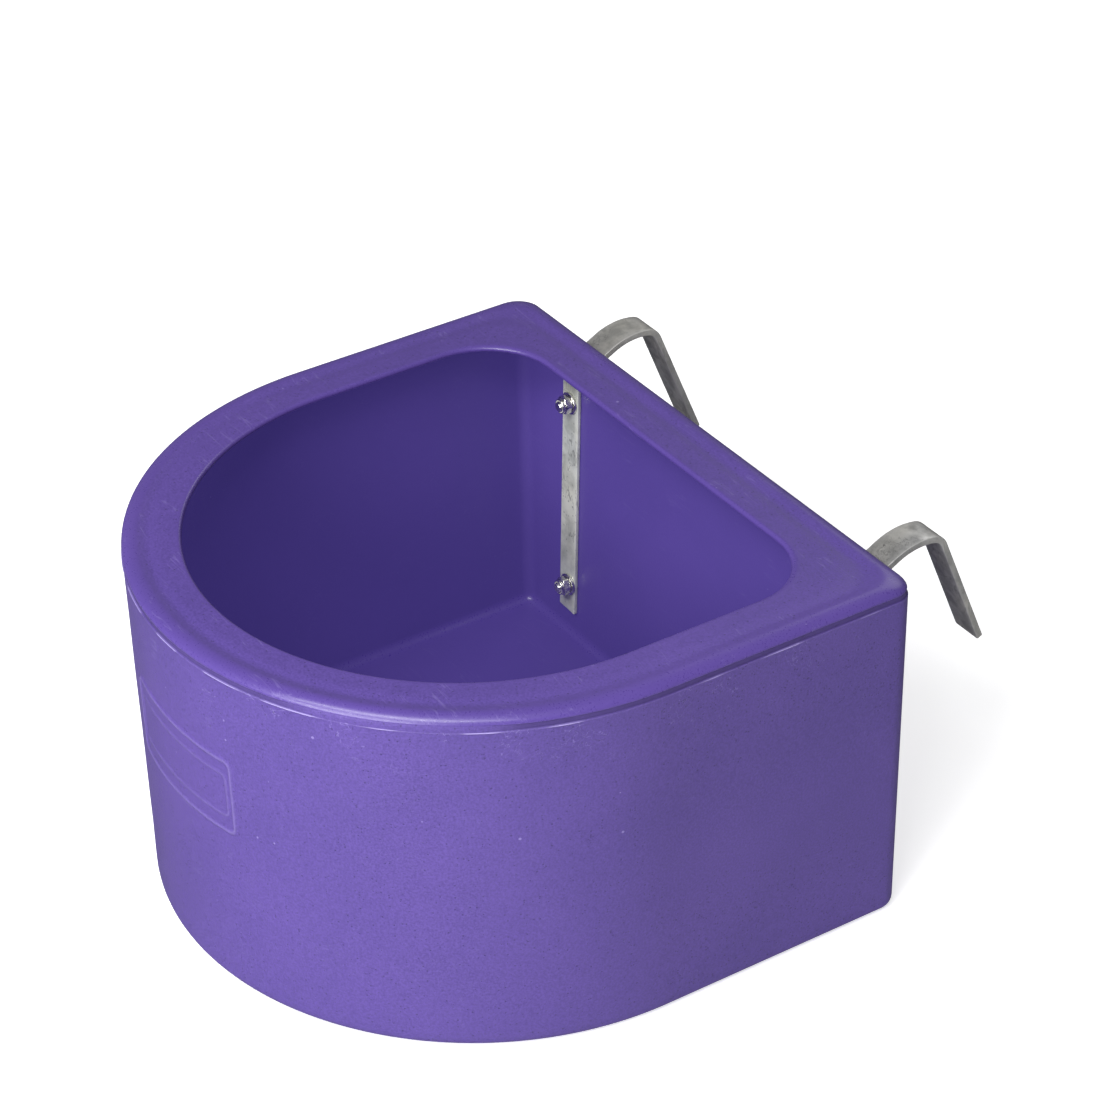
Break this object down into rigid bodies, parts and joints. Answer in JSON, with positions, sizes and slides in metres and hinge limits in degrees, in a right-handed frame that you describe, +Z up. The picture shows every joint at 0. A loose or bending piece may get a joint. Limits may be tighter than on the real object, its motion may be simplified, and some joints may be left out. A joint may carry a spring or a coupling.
{
  "type": "hook-over feed bucket",
  "caption": "D-shaped moulded feed bucket with an inward lip and two bolted flat-bar hooks that hang it on a fence rail.",
  "frame": {"origin": "on the flat underside, at the centre of the front half-circle", "axes": "+Z up, +Y out of the flat back towards the rail, +X along the back wall"},
  "size_m": [0.476, 0.5432, 0.275],
  "materials": {
    "moulded_polyethylene": "satin, faintly pitted rotational moulding",
    "galvanised_bar": "dull mottled hot-dip galvanising",
    "galvanised_strap": "light galvanising with dark scuffs",
    "zinc_plated_fastener": "bright zinc plating",
    "nylon": "plain natural nylon"
  },
  "bodies": {
    "root": {"bucket_shell": "moulded_polyethylene", "left_hook": "galvanised_bar", "right_hook": "galvanised_bar", "left_backing_strap": "galvanised_strap", "right_backing_strap": "galvanised_strap", "left_lower_bolt": "zinc_plated_fastener", "left_lower_washer": "zinc_plated_fastener", "left_lower_lock_nut": "zinc_plated_fastener", "left_lower_nylon_insert": "nylon", "left_upper_bolt": "zinc_plated_fastener", "left_upper_washer": "zinc_plated_fastener", "left_upper_lock_nut": "zinc_plated_fastener", "left_upper_nylon_insert": "nylon", "right_lower_bolt": "zinc_plated_fastener", "right_lower_washer": "zinc_plated_fastener", "right_lower_lock_nut": "zinc_plated_fastener", "right_lower_nylon_insert": "nylon", "right_upper_bolt": "zinc_plated_fastener", "right_upper_washer": "zinc_plated_fastener", "right_upper_lock_nut": "zinc_plated_fastener", "right_upper_nylon_insert": "nylon"}
  },
  "joints": []
}
